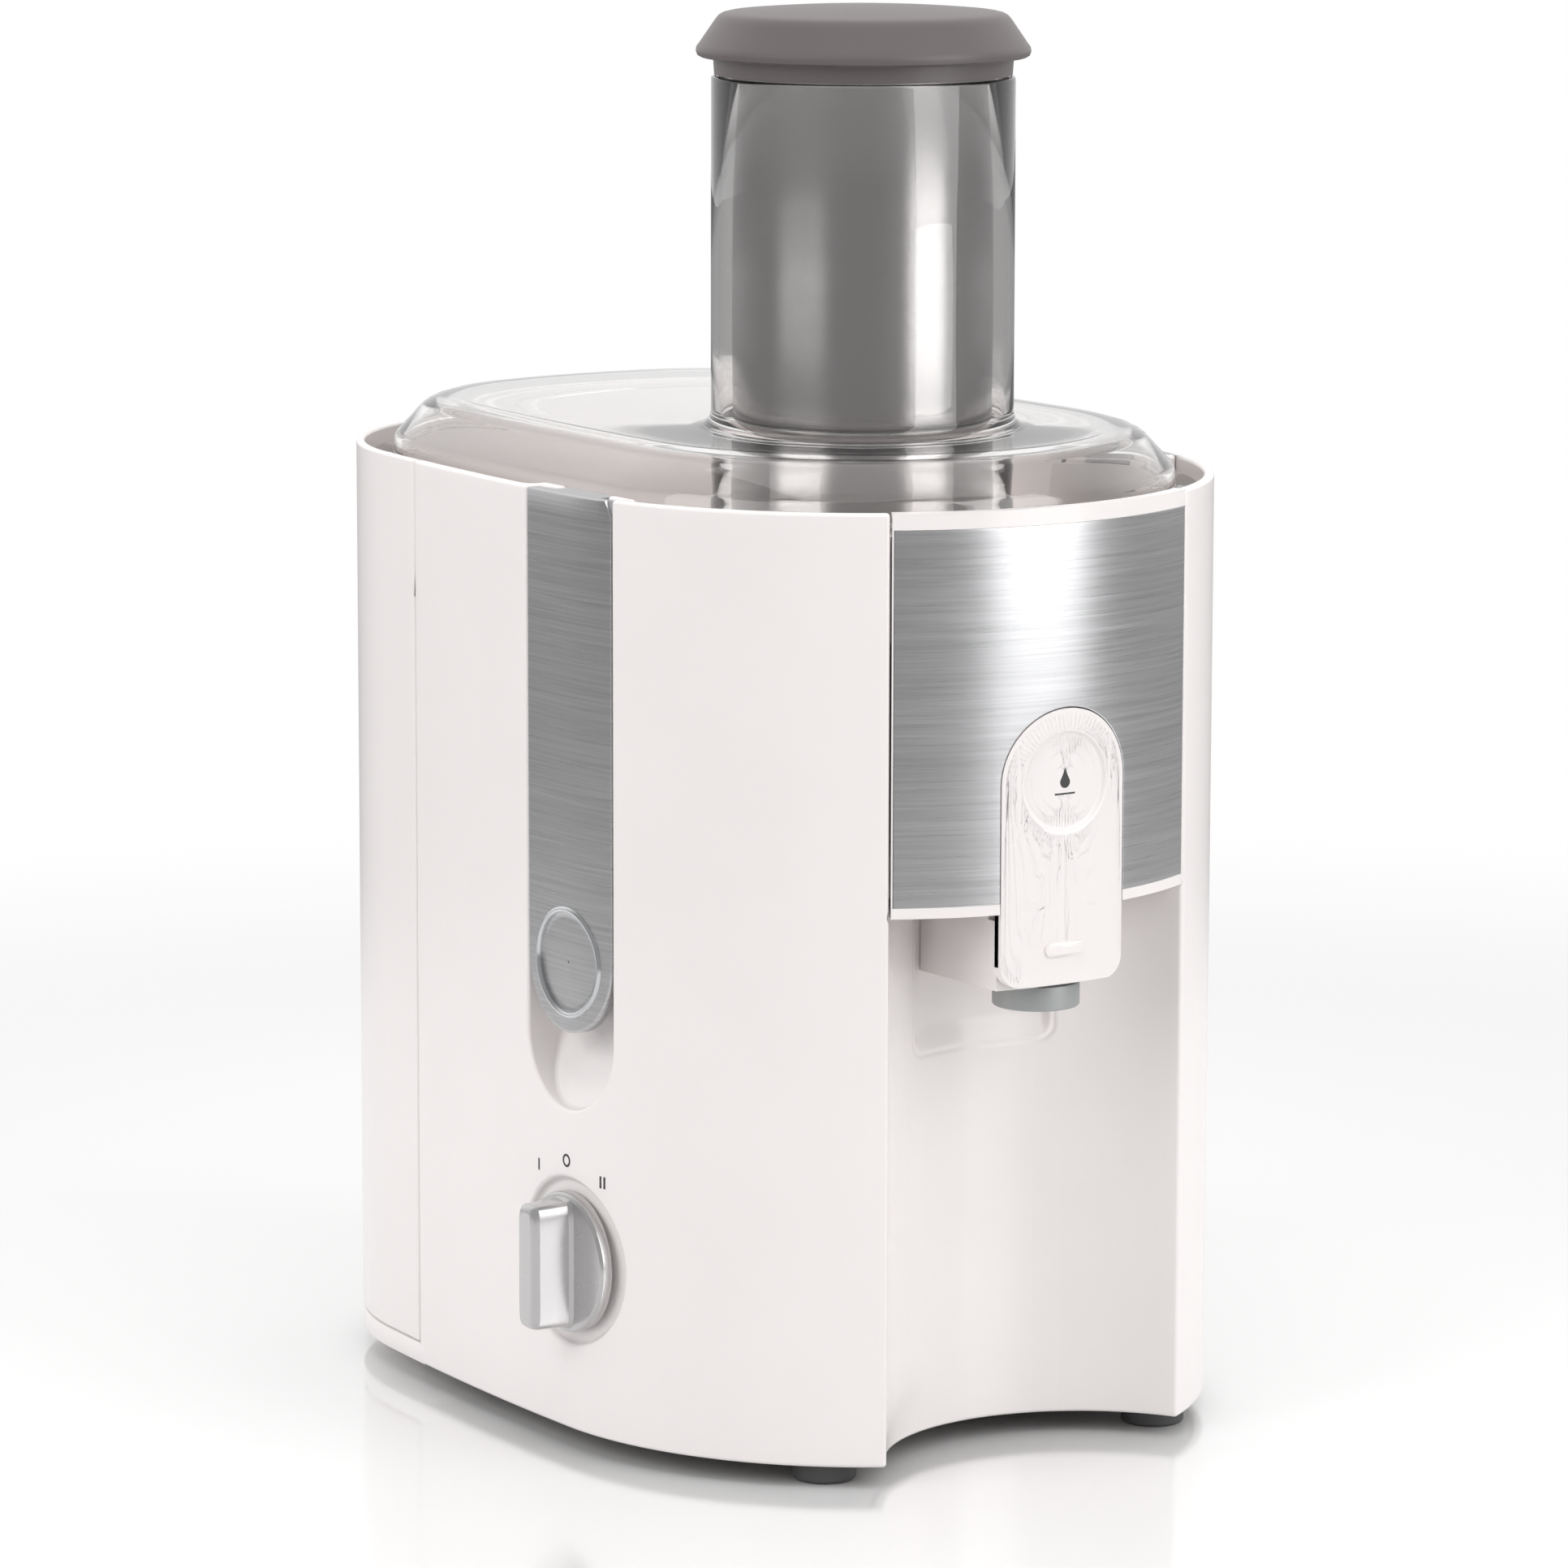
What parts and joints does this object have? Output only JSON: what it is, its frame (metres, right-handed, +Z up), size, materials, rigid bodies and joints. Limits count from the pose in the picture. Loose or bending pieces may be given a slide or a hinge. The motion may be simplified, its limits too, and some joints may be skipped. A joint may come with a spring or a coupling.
{
  "type": "centrifugal juicer",
  "caption": "Kitchen centrifugal juicer with a wide feed chute, spinning filter basket, lift-out collector with spout, rear pulp container and side clamps.",
  "frame": {"origin": "on the vertical drive axis, on the plane that the feet stand on", "axes": "+Z up, -Y towards the spout and the jug bay, -X towards the rotary switch"},
  "size_m": [0.214, 0.2821, 0.4035],
  "materials": {
    "white_plastic": "glossy",
    "steel_skin": "brushed across",
    "lever_plastic": "satin",
    "clear_lid": "clear gloss",
    "pusher_grey": "glossy",
    "cap_grey": "satin",
    "silver_knob": "satin silver",
    "nozzle_metal": "satin grey",
    "rubber": "matt",
    "steel_part": "ground",
    "black_plastic": "matt",
    "lamination": "rolled",
    "copper": "enamelled",
    "brass": "plain",
    "carbon": "matt",
    "bearing_steel": "polished",
    "white_nylon": "satin",
    "board_green": "lacquered"
  },
  "bodies": {
    "base": {"housing_left": "white_plastic", "housing_right": "white_plastic", "housing_bay": "white_plastic", "motor_deck": "white_plastic", "housing_partition": "white_plastic", "container_shelf": "white_plastic", "base_plate": "lever_plastic", "base_screws": "steel_part", "rubber_feet": "rubber", "cord_gland": "black_plastic", "stator_stack": "lamination", "field_coils": "copper", "upper_bracket": "lamination", "lower_bracket": "lamination", "motor_bolts": "steel_part", "upper_bearing": "bearing_steel", "lower_bearing": "bearing_steel", "brush_holders": "brass", "carbon_brushes": "carbon", "mount_rubbers": "rubber", "motor_screws": "steel_part", "shaft_seal": "rubber", "rotary_switch": "black_plastic", "speed_board": "board_green", "board_parts": "black_plastic", "lid_sensor": "black_plastic", "clamp_pin_left": "steel_part", "clamp_pin_right": "steel_part", "clamp_springs": "steel_part"},
    "rotor": {"motor_shaft": "steel_part", "armature_core": "lamination", "armature_windings": "copper", "commutator": "copper", "cooling_fan": "black_plastic", "drive_coupling": "white_nylon"},
    "knob": {"rotary_knob": "silver_knob"},
    "clamp_left": {"clamp_face_left": "steel_skin", "clamp_lever_left": "lever_plastic"},
    "clamp_right": {"clamp_face_right": "steel_skin", "clamp_lever_right": "lever_plastic"},
    "container": {"pulp_container": "white_plastic"},
    "collector": {"juice_bowl": "white_plastic", "collector_deck": "white_plastic", "collector_front": "white_plastic", "front_panel": "steel_skin", "cover_pin": "steel_part", "spout_nozzle": "nozzle_metal"},
    "cover": {"spout_cover": "white_plastic", "valve_plug": "rubber"},
    "filter": {"basket_mesh": "steel_part", "basket_rim": "white_nylon", "basket_base": "white_nylon", "grater_disc": "steel_part"},
    "lid": {"lid": "clear_lid", "feed_chute": "clear_lid"},
    "pusher": {"pusher_body": "pusher_grey", "pusher_cap": "cap_grey"}
  },
  "joints": [
    {"name": "rotor_spin", "type": "hinge", "parent": "base", "child": "rotor", "pos_m": [0, 0, 0.0845], "axis": [0, 0, 1], "continuous": true},
    {"name": "knob_turn", "type": "hinge", "parent": "base", "child": "knob", "pos_m": [-0.1, -0.001, 0.0545], "axis": [-1, 0, 0], "range_deg": [-30, 30]},
    {"name": "clamp_left_open", "type": "hinge", "parent": "base", "child": "clamp_left", "pos_m": [-0.092, 0, 0.168], "axis": [0, -1, 0], "range_deg": [0, 8], "stiffness_Nm_per_rad": 0.4, "springref_deg": -2.86},
    {"name": "clamp_right_open", "type": "hinge", "parent": "base", "child": "clamp_right", "pos_m": [0.092, 0, 0.168], "axis": [0, 1, 0], "range_deg": [0, 8], "stiffness_Nm_per_rad": 0.4, "springref_deg": -2.86},
    {"name": "container_slide", "type": "slide", "parent": "base", "child": "container", "axis": [0, 1, 0], "range_m": [0, 0.15]},
    {"name": "collector_lift", "type": "slide", "parent": "base", "child": "collector", "axis": [0, 0, 1], "range_m": [0, 0.16]},
    {"name": "cover_press", "type": "hinge", "parent": "collector", "child": "cover", "pos_m": [0, -0.095, 0.166], "axis": [-1, 0, 0], "range_deg": [0, 4]},
    {"name": "filter_spin", "type": "hinge", "parent": "collector", "child": "filter", "pos_m": [0, 0, 0.19], "axis": [0, 0, 1], "continuous": true},
    {"name": "lid_lift", "type": "slide", "parent": "collector", "child": "lid", "axis": [0, 0, 1], "range_m": [0, 0.1]},
    {"name": "pusher_lift", "type": "slide", "parent": "lid", "child": "pusher", "axis": [0, 0, 1], "range_m": [0, 0.18]}
  ],
  "couplings": [
    {"joint": "filter_spin", "follows": "rotor_spin", "ratio": 1}
  ]
}
